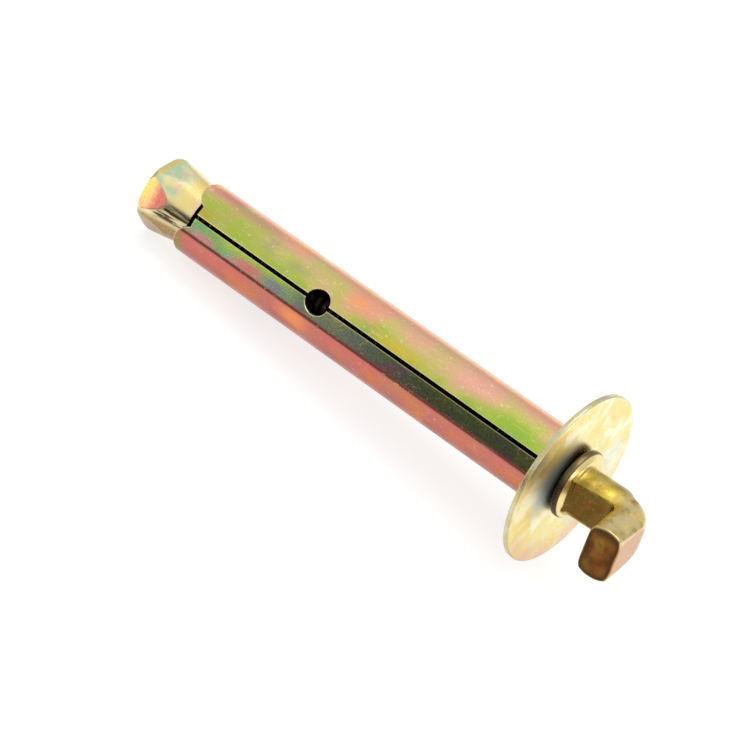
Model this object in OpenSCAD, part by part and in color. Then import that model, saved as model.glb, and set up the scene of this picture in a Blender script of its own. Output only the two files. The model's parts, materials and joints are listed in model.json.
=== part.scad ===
// Expansion hook bolt: a threaded rod with an upset collar and a bent L hook, a loose washer,
// a rolled sheet sleeve and a hexagonal cone nut that is drawn into the sleeve.
// Sizes are in millimetres. The bolt lies at rest on the rim of its washer and on a flat of its nut.

/* [Sleeve] */
// Outside diameter of the rolled sleeve, which is the size of the drilled hole
sleeve_od = 12; // [11.6:0.1:14]
// Thickness of the steel sheet that the sleeve is rolled from
sheet_t = 0.8; // [0.6:0.05:1]
// Length of the sleeve, from the washer to the tips of its two tongues
sleeve_len = 73; // [60:0.5:90]
// Width of the open seam that runs the whole length
seam_gap = 0.6; // [0.4:0.05:1.2]
// Diameter of the relief holes, one on the seam and one facing it
relief_d = 4.2; // [3:0.1:5]
// Distance from the tips of the tongues to the relief holes
relief_at = 27.4; // [20:0.2:36]
// Depth of the notches between the two tongues
notch_depth = 2.5; // [1.5:0.1:3.5]
// Width of the flat bottom of each notch
notch_w = 3.7; // [2.4:0.1:5]
// Corner radius of the tongues
tongue_r = 4; // [3:0.1:5]
// Width of the strip beside the seam that rolling left flat
strip_w = 2.5; // [1:0.1:3]
// Turn of the seam from the top of the sleeve toward the side of the hook arm
seam_roll = 46.5; // [30:0.5:60]

/* [Cone nut] */
// How much smaller the nut is across its flats than the sleeve outside
nut_under = 0.9; // [0.6:0.05:1.2]
// How far the nut stands out past the tongues
nut_out = 8; // [7:0.1:10]
// How far the small end of the cone reaches in between the tongues
nut_reach = 0.9; // [0.4:0.1:1.4]
// Half angle of the cone
cone_angle = 9.5; // [8:0.5:12]
// Radial gap between the cone and the tips of the tongues before tightening
mouth_gap = 0.2; // [0.15:0.01:0.3]
// How much larger than the sleeve the corners of the nut are turned to
nut_turn = 0.5; // [0.2:0.05:0.5]
// Width of the chamfer on the corners at the outer end
nut_chamfer = 0.7; // [0.3:0.05:1]
// Depth of the countersink at the mouth of the thread
sink_depth = 0.4; // [0.2:0.05:0.6]

/* [Washer] */
// Outside diameter of the washer
washer_od = 28; // [24:0.5:34]
// Thickness of the washer
washer_t = 0.8; // [0.6:0.05:1.6]
// Rolled edge left by blanking, on the side of the hook
washer_roll = 0.2; // [0.1:0.02:0.25]

/* [Rod and hook] */
// Outside diameter of the thread, as a share of the bore of the sleeve
rod_share = 0.7596; // [0.72:0.0004:0.78]
// How far the end of the rod stays inside the nut
rod_recess = 2.2; // [1:0.1:3]
// How far the upset collar stands out around the rod
collar_out = 1.55; // [1.4:0.05:2.5]
// Thickness of the collar from its seat to its front
collar_t = 2.2; // [1.8:0.1:3]
// How much narrower the bar of the hook is than the thread
bar_under = 0.2; // [0.1:0.05:0.6]
// Thickness of the pressed bar between its flats, as a share of its width
press_share = 0.662; // [0.6:0.01:0.72]
// The same share at the collar, where the flats run out
root_share = 0.753; // [0.74:0.01:0.84]
// Offset of the pressed shank from the axis, toward the side of the arm
shank_off = 0.9; // [0:0.1:1.2]
// Lean of the shank away from the side of the arm
shank_lean = 4; // [0:0.5:6]
// Length of the shank from the collar to the inside corner of the hook
shank_len = 7.1; // [5:0.1:12]
// Inside radius of the bend
bend_r = 1.6; // [0.6:0.1:2.4]
// Angle of the bend
bend_angle = 86; // [78:1:92]
// Length of the arm from the inside of the shank to the tip
arm_len = 8.7; // [7:0.1:14]
// Chamfer around the sheared tip of the arm
tip_edge = 0.35; // [0.2:0.05:0.6]
// Rise of the arm above the horizontal as the bolt lies at rest
hook_rise = 11; // [0:1:15]

/* [Clearances] */
// Radial play between the rod and the thread of the nut
thread_play = 0.1; // [0.05:0.01:0.2]
// Radial play between the rod and the hole of the washer
washer_bore_play = 0.3; // [0.2:0.02:0.4]
// Play along the axis on each side of the washer
washer_play = 0.1; // [0.05:0.01:0.2]

/* [Hidden] */
$fn = 96;
over = 1;
sleeve_r = sleeve_od / 2;
bore_r = sleeve_r - sheet_t;
rod_r = bore_r * rod_share;
sleeve_end = -washer_play;
tip_x = sleeve_end - sleeve_len;
relief_x = tip_x + relief_at;
seam_half = seam_gap / 2;
strip_half = asin((strip_w + seam_half) / 2 / sleeve_r);
tongue_lift = 0.05;
tongue_off = notch_w / 2 + sqrt(tongue_r ^ 2 - (tongue_r - tongue_lift - notch_depth) ^ 2);
lead = 0.25;
nut_bore_r = rod_r + thread_play;
nut_flat_r = (sleeve_od - nut_under) / 2;
nut_corner_r = nut_flat_r / cos(30);
nut_turn_r = sleeve_r + nut_turn / 2;
cone_slope = tan(cone_angle);
cone_tip_r = bore_r - mouth_gap;
nut_min_wall = 0.3;
nut_in = min(nut_reach, (cone_tip_r - nut_bore_r - nut_min_wall) / cone_slope);
nut_x = tip_x - nut_out;
nut_len = nut_out + nut_in;
cone_small_r = cone_tip_r - nut_in * cone_slope;
cone_big_r = cone_small_r + nut_len * cone_slope;
chamfer_out = 0.45;
nut_end_r = nut_turn_r - chamfer_out;
rod_x = nut_x + rod_recess;
rod_point = 0.8;
seat_x = washer_t + washer_play;
collar_r = rod_r + collar_out;
collar_x = seat_x + collar_t;
collar_bevel = 0.9;
collar_under = 0.6;
face_chamfer = 1.1;
face_depth = 0.75;
section_w = 2 * rod_r - bar_under;
section_t = section_w * press_share;
root_t = section_w * root_share;
chord = sqrt(section_w ^ 2 - section_t ^ 2) / 2;
shank_run = shank_len - bend_r;
shank_root = 1.2;
bend_y = section_t / 2 + bend_r;
arm_run = arm_len - bend_r;
lean = 90 - bend_angle;
lip = 0.03;
bend_over = 3;
arm_back = 0.1;
out_x = shank_run + (bend_r + section_t) * cos(lean) + arm_run * sin(lean);
out_y = bend_y - (bend_r + section_t) * sin(lean) + arm_run * cos(lean);
reach_x = collar_x + out_x * cos(shank_lean) + out_y * sin(shank_lean);
reach_y = shank_off - out_x * sin(shank_lean) + out_y * cos(shank_lean);
tilt = atan((washer_od / 2 - nut_flat_r) / -nut_x);
rest_z = washer_od / 2 * cos(tilt);
x_low = nut_x * cos(tilt) - nut_flat_r * sin(tilt);
x_high = reach_x * cos(tilt) + (chord * cos(hook_rise) - reach_y * sin(hook_rise)) * sin(tilt);

// Lays the bolt down so that the washer rim and the lower flat of the nut touch the floor
module at_rest() {
  translate([-(x_low + x_high) / 2, 0, rest_z])
    rotate([0, -tilt, 0])
      children();
}

// Turns a shape drawn around Z so that it lies along the bolt
module along(x = 0) {
  translate([x, 0, 0])
    rotate([0, 90, 0])
      children();
}

// Outline of the opening between the tongues, drawn along the bolt and across it
module notch_outline() {
  difference() {
    translate([-over, -tongue_off])
      square([over + notch_depth, 2 * tongue_off]);
    for (side = [-1, 1])
      translate([tongue_r - tongue_lift, side * tongue_off])
        circle(r = tongue_r);
  }
}

// Everything cut from the rolled tube, with the seam at the top
module sleeve_cuts() {
  translate([tip_x - over, -seam_half, 0])
    cube([sleeve_len + 2 * over, seam_gap, sleeve_r + over]);
  translate([tip_x - over, -seam_half, -sleeve_r - over])
    cube([relief_at + over, seam_gap, sleeve_r + over]);
  translate([relief_x, 0, -sleeve_r - over])
    cylinder(h = 2 * (sleeve_r + over), d = relief_d);
  translate([tip_x, 0, -sleeve_r - over])
    linear_extrude(2 * (sleeve_r + over))
      notch_outline();
  rotate([strip_half, 0, 0])
    translate([tip_x - over, -sleeve_r, sleeve_r * cos(strip_half)])
      cube([sleeve_len + 2 * over, 2 * sleeve_r, over]);
}

// Split sleeve with tongues that spread when the cone is drawn in
module sleeve() {
  color([0.78, 0.66, 0.42])
    at_rest()
      rotate([seam_roll, 0, 0])
        difference() {
          along(tip_x)
            cylinder(h = sleeve_len, r = sleeve_r);
          along(tip_x - over)
            cylinder(h = sleeve_len + 2 * over, r = bore_r);
          along(tip_x - lead)
            cylinder(h = 3 * lead, r1 = bore_r + 2 * lead, r2 = bore_r - lead);
          sleeve_cuts();
        }
}

// Outside of the nut: a hexagon turned to a cone, so that each flat ends in an arch
module nut_body() {
  intersection() {
    rotate([0, 0, 30])
      cylinder(h = nut_len, r = nut_corner_r, $fn = 6);
    cylinder(h = nut_len, r1 = cone_big_r, r2 = cone_small_r);
    rotate_extrude()
      polygon([
        [0, 0],
        [nut_end_r, 0],
        [nut_turn_r, nut_chamfer],
        [nut_turn_r, nut_len],
        [0, nut_len]
      ]);
  }
}

// Hexagonal cone nut on the end of the rod
module cone_nut() {
  color([0.82, 0.72, 0.48])
    at_rest()
      along(nut_x)
        difference() {
          nut_body();
          translate([0, 0, -over])
            cylinder(h = nut_len + 2 * over, r = nut_bore_r);
          translate([0, 0, -over])
            cylinder(h = over + sink_depth, r1 = nut_bore_r + sink_depth + over, r2 = nut_bore_r);
        }
}

// Plain blanked washer, with a rolled edge on its outer side
module washer() {
  color([0.86, 0.82, 0.62])
    at_rest()
      along()
        rotate_extrude()
          polygon([
            [rod_r + washer_bore_play, 0],
            [washer_od / 2, 0],
            [washer_od / 2, washer_t - washer_roll],
            [washer_od / 2 - washer_roll, washer_t],
            [rod_r + washer_bore_play, washer_t]
          ]);
}

// Section of the hook: a round bar pressed flat on two sides
module hook_section(grow = 0) {
  intersection() {
    circle(d = section_w + 2 * grow);
    square([section_t + 2 * grow, section_w + over], center = true);
  }
}

// Rod and upset collar, turned around the axis
module rod_and_collar() {
  along()
    rotate_extrude()
      polygon([
        [0, rod_x],
        [rod_r - rod_point, rod_x],
        [rod_r, rod_x + rod_point],
        [rod_r, seat_x],
        [collar_r - collar_bevel, seat_x],
        [collar_r, seat_x + collar_under],
        [collar_r, collar_x - face_depth],
        [collar_r - face_chamfer, collar_x],
        [0, collar_x]
      ]);
}

// Shank whose two flats deepen from the collar to the bend
module shank() {
  intersection() {
    along(-shank_root)
      cylinder(h = shank_root + shank_run, d = section_w + 2 * lip);
    translate([0, 0, -section_w])
      linear_extrude(2 * section_w)
        polygon([
          [-shank_root, -root_t / 2],
          [0, -root_t / 2],
          [shank_run, -section_t / 2 - lip],
          [shank_run, section_t / 2 + lip],
          [0, root_t / 2],
          [-shank_root, root_t / 2]
        ]);
  }
}

// Arm of the hook, with the edges of its sheared tip broken
module arm(length) {
  brim = tip_edge + over;
  half_w = section_w / 2 + lip;
  half_t = section_t / 2 + lip;
  intersection() {
    linear_extrude(length)
      hook_section(lip);
    rotate_extrude()
      polygon([
        [0, 0],
        [half_w + over, 0],
        [half_w + over, length - brim],
        [half_w - tip_edge, length],
        [0, length]
      ]);
    translate([0, section_w, 0])
      rotate([90, 0, 0])
        linear_extrude(2 * section_w)
          polygon([
            [-half_t - over, 0],
            [half_t + over, 0],
            [half_t + over, length - brim],
            [half_t - tip_edge, length],
            [tip_edge - half_t, length],
            [-half_t - over, length - brim]
          ]);
  }
}

// Bend and arm, swung out of the shank; each straight run closes a hair over the bend
module hook_end() {
  translate([shank_run, -bend_y, 0])
    rotate([0, 0, lean]) {
      rotate_extrude(angle = bend_angle + bend_over)
        translate([bend_y, 0])
          hook_section();
      translate([bend_y, arm_back, 0])
        rotate([90, 0, 0])
          arm(arm_run + arm_back);
    }
}

// Rod, collar and hook, upset and bent from one bar
module hook_bolt() {
  color([0.74, 0.58, 0.28])
    at_rest()
      rotate([-hook_rise, 0, 0]) {
        rod_and_collar();
        translate([collar_x, -shank_off, 0])
          rotate([0, 0, shank_lean]) {
            shank();
            hook_end();
          }
      }
}

sleeve();
cone_nut();
washer();
hook_bolt();
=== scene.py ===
# %% [markdown]
# # An expansion hook bolt in yellow zinc
# The part is a wall anchor: a rolled sleeve, a cone nut, a washer and a bent hook on a threaded rod.
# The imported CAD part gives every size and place, and each piece here is drawn again with the rounded
# edges, the thread and the coloured chromate film that exact solids do not have.

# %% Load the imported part
import json
import math

import bmesh
import bpy
import numpy as np
from mathutils import Euler, Matrix, Vector, noise
from mathutils.geometry import delaunay_2d_cdt
from mathutils.kdtree import KDTree


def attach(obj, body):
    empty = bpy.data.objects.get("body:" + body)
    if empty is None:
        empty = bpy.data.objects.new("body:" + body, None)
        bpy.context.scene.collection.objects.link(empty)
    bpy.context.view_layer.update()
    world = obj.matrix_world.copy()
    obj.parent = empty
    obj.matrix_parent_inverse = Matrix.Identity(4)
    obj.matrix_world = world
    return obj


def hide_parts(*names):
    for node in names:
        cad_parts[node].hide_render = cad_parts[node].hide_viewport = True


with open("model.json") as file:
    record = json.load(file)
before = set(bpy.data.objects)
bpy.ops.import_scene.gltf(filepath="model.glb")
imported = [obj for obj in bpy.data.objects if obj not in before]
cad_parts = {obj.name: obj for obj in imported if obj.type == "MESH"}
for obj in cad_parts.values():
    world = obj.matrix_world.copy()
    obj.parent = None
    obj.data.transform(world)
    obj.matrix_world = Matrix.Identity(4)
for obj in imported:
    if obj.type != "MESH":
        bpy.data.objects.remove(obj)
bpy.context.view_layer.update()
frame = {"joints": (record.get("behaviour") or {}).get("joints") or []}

# %% [markdown]
# ## Sizes
# A maker works from one list of sizes, so the sizes of the CAD source come first, in millimetres.
# Everything is drawn along X, from the nut to the hook, with zero at the inner face of the washer.
# One matrix then lays the bolt down on the rim of its washer and on a flat of its nut.

# %% Sizes and the resting place
SLEEVE_R, SHEET, SLEEVE_LEN, SEAM = 6.0, 0.8, 73.0, 0.6
RELIEF_R, RELIEF_AT, STRIP_W, SEAM_ROLL = 2.1, 27.4, 2.5, 46.5
NOTCH_DEPTH, NOTCH_W, TONGUE_R, TONGUE_LIFT = 2.5, 3.7, 4.0, 0.05
NUT_FLAT_R, NUT_TURN_R, NUT_END_R, NUT_CHAMFER = 5.55, 6.25, 5.75, 1.5
NUT_OUT, NUT_IN, CONE_ANGLE, CONE_TIP_R, SINK = 8.0, 1.3, 9.5, 5.0, 0.4
WASHER_R, WASHER_T, WASHER_ROLL, WASHER_BORE_R = 14.0, 0.8, 0.2, 4.25
ROD_R, NUT_BORE_R, ROD_RECESS, PITCH = 3.95, 4.05, 2.2, 1.25
COLLAR_R, COLLAR_T, PLAY = 5.5, 2.2, 0.1
BAR_W, BAR_T, ROOT_T = 7.7, 5.1, 5.8
SHANK_OFF, SHANK_LEAN, SHANK_LEN, BEND_R, BEND_ANGLE, ARM_LEN = 0.9, 4.0, 7.1, 1.6, 86.0, 8.7
HOOK_RISE, TIP_EDGE = 11.0, 0.35

sleeve_end = -PLAY
tip_x = sleeve_end - SLEEVE_LEN
relief_x = tip_x + RELIEF_AT
nut_x = tip_x - NUT_OUT
rod_x = nut_x + ROD_RECESS
seat_x = WASHER_T + PLAY
collar_x = seat_x + COLLAR_T
hook_turn = next(joint for joint in frame["joints"] if joint["name"] == "hook_turn")
bolt_zero = Vector(hook_turn["pos_m"])
axis = -Vector(hook_turn["axis"])
tilt = math.atan2(axis.z, axis.x)
lay_down = Matrix.Translation(bolt_zero) @ Matrix.Rotation(-tilt, 4, "Y") @ Matrix.Scale(0.001, 4)
print("tilt", round(math.degrees(tilt), 3), "zero point in mm", [round(1000 * v, 3) for v in bolt_zero])

# %% [markdown]
# ## Helpers for meshes
# Most pieces are turned or swept, so they are rings of points joined by four-sided faces.
# Blender has a Screw modifier for this, but rings in code let each ring differ, as the nut needs.
# A profile with sharp corners looks like a drawing, so one helper rounds its corners with small arcs.

# %% Helpers for rings and profiles
WELD, SLIVER = 2e-7, 1e-7  # in metres: nearer points are merged and shorter edges dissolve


def rounded(profile, radii, steps=4):
    """The points of an open profile, with each inner corner replaced by an arc-like curve."""
    pts = [np.array(p, float) for p in profile]
    out = [pts[0]]
    for before, here, after, radius in zip(pts, pts[1:], pts[2:], radii):
        if radius <= 0:
            out.append(here)
            continue
        a, b = before - here, after - here
        reach = min(radius, 0.45 * np.linalg.norm(a), 0.45 * np.linalg.norm(b))
        p, q = here + reach * a / np.linalg.norm(a), here + reach * b / np.linalg.norm(b)
        for t in np.linspace(0, 1, steps + 1):
            out.append((1 - t) ** 2 * p + 2 * t * (1 - t) * here + t * t * q)
    return out + [pts[-1]]


def ring_faces(rows, columns, closed_rows=False):
    """Faces between rings of points that each go once around."""
    faces = []
    for i in range(rows if closed_rows else rows - 1):
        k = (i + 1) % rows
        for j in range(columns):
            m = (j + 1) % columns
            faces.append((i * columns + j, i * columns + m, k * columns + m, k * columns + j))
    return faces


def turned(profile, columns, wobble=None):
    """A closed solid turned around X from a closed profile of (x, radius) pairs."""
    angles = np.linspace(0, 2 * math.pi, columns, endpoint=False)
    points = []
    for x, r in profile:
        for a in angles:
            radius = r if wobble is None else r + wobble(x, r, a)
            points.append((x, radius * math.sin(a), radius * math.cos(a)))
    return points, ring_faces(len(profile), columns, closed_rows=True)


def into_scene(obj):
    """Links an object to the scene and returns it."""
    bpy.context.scene.collection.objects.link(obj)
    return obj


def piece(name, points, faces, fields, place, material, body, slot, *nodes):
    """Makes a mesh with its named point values, places it and hands it to a body."""
    mesh = bpy.data.meshes.new(name)
    mesh.from_pydata([tuple(p) for p in points], [], [tuple(f) for f in faces])
    for title, values in fields.items():
        mesh.attributes.new(title, "FLOAT", "POINT").data.foreach_set("value", values)
    return settle(name, mesh, place, material, body, slot, *nodes)


def settle(name, mesh, place, material, body, slot, *nodes):
    """Places a plain mesh, cleans it and hands it to its body."""
    mesh.transform(place)
    work = bmesh.new()
    work.from_mesh(mesh)
    bmesh.ops.remove_doubles(work, verts=work.verts, dist=WELD)
    bmesh.ops.dissolve_degenerate(work, edges=work.edges, dist=SLIVER)
    bmesh.ops.recalc_face_normals(work, faces=work.faces)
    open_edges = sum(1 for e in work.edges if len(e.link_faces) != 2)
    work.to_mesh(mesh)
    work.free()
    mesh.shade_smooth()
    mesh.materials.clear()
    mesh.materials.append(material)
    obj = into_scene(bpy.data.objects.new(name, mesh))
    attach(obj, body)
    if nodes:
        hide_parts(*nodes)
    print(name, "faces", len(mesh.polygons), "open edges", open_edges)
    return obj


print("mesh helpers ready")

# %% [markdown]
# ## Helpers for node trees
# Shader trees and geometry trees share the same Math node, so one helper serves both.
# A value that is a socket is linked, and a value that is a number is typed into the node.

# %% Helpers for node trees
def put(tree, kind, inputs=None, **settings):
    """Adds a node, sets its options, and links or fills its inputs by name or number."""
    node = tree.nodes.new(kind)
    for key, value in settings.items():
        setattr(node, key, value)
    for key, value in (inputs or {}).items():
        if isinstance(value, bpy.types.NodeSocket):
            tree.links.new(value, node.inputs[key])
        else:
            node.inputs[key].default_value = value
    return node


def calc(tree, operation, *values):
    """One Math node, returning its result."""
    return put(tree, "ShaderNodeMath", dict(enumerate(values)), operation=operation).outputs[0]


def ramped(tree, value, low, high, start=0.0, end=1.0, **settings):
    """One Map Range node that takes low to start and high to end, returning its result."""
    limits = {0: value, 1: low, 2: high, 3: start, 4: end}
    return put(tree, "ShaderNodeMapRange", limits, **settings).outputs[0]


def clouds(tree, place, scale, detail, roughness=0.5, **more):
    """One Noise node, returning its value. With a seed W the noise has a fourth dimension."""
    inputs = {"Vector": place, "Scale": scale, "Detail": detail, "Roughness": roughness, **more}
    kind = "4D" if "W" in more else "3D"
    return put(tree, "ShaderNodeTexNoise", inputs, noise_dimensions=kind).outputs[0]


def group(name, kind, inputs, outputs):
    """An empty node group with named sockets; returns the tree and its input node's outputs."""
    tree = bpy.data.node_groups.new(name, kind)
    for title, socket, default in inputs:
        made = tree.interface.new_socket(name=title, in_out="INPUT", socket_type=socket)
        if default is not None:
            made.default_value = default
    for title, socket in outputs:
        tree.interface.new_socket(name=title, in_out="OUTPUT", socket_type=socket)
    return tree, tree.nodes.new("NodeGroupInput").outputs


def close_group(tree, **results):
    """Links the finished sockets to the group's outputs."""
    end = tree.nodes.new("NodeGroupOutput")
    for title, socket in results.items():
        tree.links.new(socket, end.inputs[title])


def srgb(r, g, b):
    """A colour as seen on a screen, from 0 to 1, as the linear colour that shaders use."""
    line = [c / 12.92 if c <= 0.04045 else ((c + 0.055) / 1.055) ** 2.4 for c in (r, g, b)]
    return (*line, 1.0)


def tint(tree, mask, colour, wash):
    """Mixes a wash of colour over a colour where the mask says so."""
    inputs = {0: mask, 6: colour, 7: srgb(*wash)}
    return put(tree, "ShaderNodeMix", inputs, data_type="RGBA").outputs[2]


FLOAT, VECTOR, COLOUR = "NodeSocketFloat", "NodeSocketVector", "NodeSocketColor"
SHADER, GEOMETRY = "ShaderNodeTree", "GeometryNodeTree"
print("node helpers ready")

# %% [markdown]
# ## Finding one's place on the bolt
# The film on the real bolt changes around the bar and along it, so every material needs to know
# how far along and how far around a point lies. Object coordinates go through a Mapping node that
# undoes the resting place, and an arctangent gives the turn around the axis.

# %% Group: place on the bolt
tree, given = group("place_on_bolt", SHADER, [],
                    [("Place", VECTOR), ("Along", FLOAT), ("Turn", FLOAT), ("Radius", FLOAT)])
where = put(tree, "ShaderNodeTexCoord").outputs["Object"]
local = put(tree, "ShaderNodeMapping",
            {"Vector": where, "Location": bolt_zero, "Rotation": (0, -tilt, 0), "Scale": (0.001,) * 3},
            vector_type="TEXTURE").outputs[0]
parts = put(tree, "ShaderNodeSeparateXYZ", {0: local}).outputs
turn = calc(tree, "ARCTAN2", parts[1], parts[2])
squares = [calc(tree, "MULTIPLY", side, side) for side in (parts[1], parts[2])]
radius = calc(tree, "SQRT", calc(tree, "ADD", *squares))
close_group(tree, Place=local, Along=parts[0], Turn=turn, Radius=radius)
place_on_bolt = tree
print("group", tree.name)

# %% [markdown]
# ## The chromate film
# Yellow zinc gets its colours from a clear film that is thinner than light's wavelength. Straw and
# gold are the thinnest, then come orange, pink, mauve, green, lime and pink again.
# So the film is made as one number, its depth, and a single colour ramp turns depth into colour.
# Broad noise gives the drifts where the bath drained off.

# %% Groups: film depth and film colour
tree, given = group("film_depth", SHADER,
                    [("Place", VECTOR, None), ("Turn", FLOAT, 0.0), ("Base", FLOAT, 0.5),
                     ("Swing", FLOAT, 0.0), ("Phase", FLOAT, 0.0), ("Drift", FLOAT, 0.2),
                     ("Patch", FLOAT, 8.0), ("Stretch", FLOAT, 0.5), ("Seed", FLOAT, 0.0)],
                    [("Depth", FLOAT)])
spread = put(tree, "ShaderNodeCombineXYZ", {0: given["Stretch"], 1: 1.0, 2: 1.0}).outputs[0]
sized = put(tree, "ShaderNodeVectorMath", {0: given["Place"], 1: spread}, operation="MULTIPLY").outputs[0]
fine = calc(tree, "DIVIDE", 1.0, given["Patch"])
finer = calc(tree, "MULTIPLY", fine, 5.0)
drift = clouds(tree, sized, fine, 3.0, W=given["Seed"], Distortion=0.8)
mottle = clouds(tree, sized, finer, 4.0, 0.6, W=given["Seed"], Distortion=0.4)
wave = calc(tree, "SINE", calc(tree, "ADD", given["Turn"], given["Phase"]))
level = calc(tree, "MULTIPLY_ADD", wave, given["Swing"], given["Base"])
broad, small = [calc(tree, "SUBTRACT", value, 0.5) for value in (drift, mottle)]
cloud = calc(tree, "MULTIPLY_ADD", small, 0.06, broad)
loose = calc(tree, "MULTIPLY", cloud, calc(tree, "MULTIPLY", given["Drift"], 2.0))
close_group(tree, Depth=calc(tree, "ADD", level, loose))
film_depth = tree

FILM = [(0.00, (0.93, 0.90, 0.68)), (0.07, (0.93, 0.85, 0.50)), (0.14, (0.92, 0.74, 0.40)),
        (0.22, (0.92, 0.61, 0.36)), (0.30, (0.88, 0.52, 0.42)), (0.39, (0.84, 0.45, 0.46)),
        (0.46, (0.76, 0.48, 0.54)), (0.52, (0.58, 0.58, 0.52)), (0.58, (0.50, 0.68, 0.40)),
        (0.64, (0.64, 0.73, 0.26)), (0.73, (0.74, 0.76, 0.34)), (0.81, (0.82, 0.73, 0.46)),
        (0.87, (0.88, 0.68, 0.54)), (0.93, (0.93, 0.64, 0.54)), (1.00, (0.95, 0.70, 0.46))]
tree, given = group("film_colour", SHADER, [("Depth", FLOAT, 0.5), ("Paleness", FLOAT, 0.0)],
                    [("Colour", COLOUR)])
ramp = put(tree, "ShaderNodeValToRGB", {0: given["Depth"]})
while len(ramp.color_ramp.elements) < len(FILM):
    ramp.color_ramp.elements.new(1.0)
for stop, (at, colour) in zip(ramp.color_ramp.elements, FILM):
    stop.position = at
    stop.color = srgb(*colour)
THIN_FILM = (0.95, 0.91, 0.78)
close_group(tree, Colour=tint(tree, given["Paleness"], ramp.outputs[0], THIN_FILM))
film_colour = tree
print("groups", film_depth.name, film_colour.name, "with", len(FILM), "film colours")

# %% [markdown]
# ## Handling marks
# Small hardware is plated loose in a barrel, so the film carries bright pin-pricks and short
# scratches that show paler zinc. Stretched noise makes scratches, and the peaks of a fine noise
# make pricks, which a slower noise gathers in crowds. The same fields drive a shallow bump.

# %% Group: handling marks
tree, given = group("handling_marks", SHADER,
                    [("Place", VECTOR, None), ("Pricks", FLOAT, 0.5), ("Scratches", FLOAT, 0.5)],
                    [("Marks", FLOAT), ("Grain", FLOAT), ("Height", FLOAT)])
chips = clouds(tree, given["Place"], 1.6, 3.0, 0.7)
dot = ramped(tree, chips, 0.615, 0.65)
crowd = clouds(tree, given["Place"], 0.16, 1.0)
rare = ramped(tree, crowd, 0.40, 0.60, 0.2)
prick = calc(tree, "MULTIPLY", calc(tree, "MULTIPLY", dot, rare), given["Pricks"])
slant = {"Vector": given["Place"], "Rotation": (0.2, 0.5, 0.7), "Scale": (0.35, 3.2, 3.2)}
lines = clouds(tree, put(tree, "ShaderNodeMapping", slant).outputs[0], 1.0, 2.0)
scratch = calc(tree, "MULTIPLY", ramped(tree, lines, 0.64, 0.69), given["Scratches"])
grain = clouds(tree, given["Place"], 2.6, 4.0, 0.6)
marks = calc(tree, "MAXIMUM", prick, scratch)
height = calc(tree, "MULTIPLY_ADD", marks, -0.35, grain)
close_group(tree, Marks=marks, Grain=grain, Height=height)
handling_marks = tree
print("group", tree.name)

# %% [markdown]
# ## Washes of colour
# In places the film on the real pieces has a colour of its own, such as an orange spot by a hole. A
# painted image could show that, but it would fit one mesh only. So a wash is a colour with a mask,
# and the mask is made of soft limits along the bolt, around it and out from its axis. Some washes
# paint shade, highlights and reflections instead of film colour.

# %% Helpers for washes
def band(tree, value, low, high, soft):
    """A mask that is 1 between low and high and fades over soft."""
    up = ramped(tree, value, low - soft, low + soft, interpolation_type="SMOOTHSTEP")
    down = ramped(tree, value, high - soft, high + soft, 1.0, 0.0, interpolation_type="SMOOTHSTEP")
    return calc(tree, "MULTIPLY", up, down)


def field(tree, name):
    """A value that the mesh carries at its points."""
    return put(tree, "ShaderNodeAttribute", attribute_name=name).outputs["Fac"]


def patchy(tree, here, size, low, high):
    """An uneven mask from noise with spots of about a size in millimetres."""
    return ramped(tree, clouds(tree, here["Place"], 1 / size, 3.0), low, high)


def stain_and_painted_light(colour, share, along=None, around=None, ring=None, grain=None, only=None):
    """A wash of colour: a stain in the film, or painted shade, highlight or reflection. Along, around and
    ring limit it by low, high and softness; grain breaks it up with noise of a size, low and high; only
    keeps it to a value that the mesh carries."""
    def wash(tree, here, turn):
        limits = ((here["Along"], along), (turn, around), (here["Radius"], ring))
        masks = [band(tree, value, *limit) for value, limit in limits if limit]
        if grain:
            masks.append(patchy(tree, here, *grain))
        if only:
            masks.append(field(tree, only))
        mask = calc(tree, "ADD", share, 0.0)
        for more in masks:
            mask = calc(tree, "MULTIPLY", mask, more)
        return mask, colour
    return wash


print("wash helpers ready")

# %% [markdown]
# ## One way to build each finish
# The four pieces are plated alike but look different, because the film drained off each one in its
# own way. A function lays the film, lets the washes tint it with film colours and with painted shade,
# highlights and reflections, adds the marks and the cream edges, which are partly bare zinc and partly
# a painted highlight, and ends in a metal shader that stays in the material itself.

# %% Building a plated finish
MARK_COLOUR, EDGE_COLOUR = (0.95, 0.88, 0.74), (0.97, 0.92, 0.76)


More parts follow.
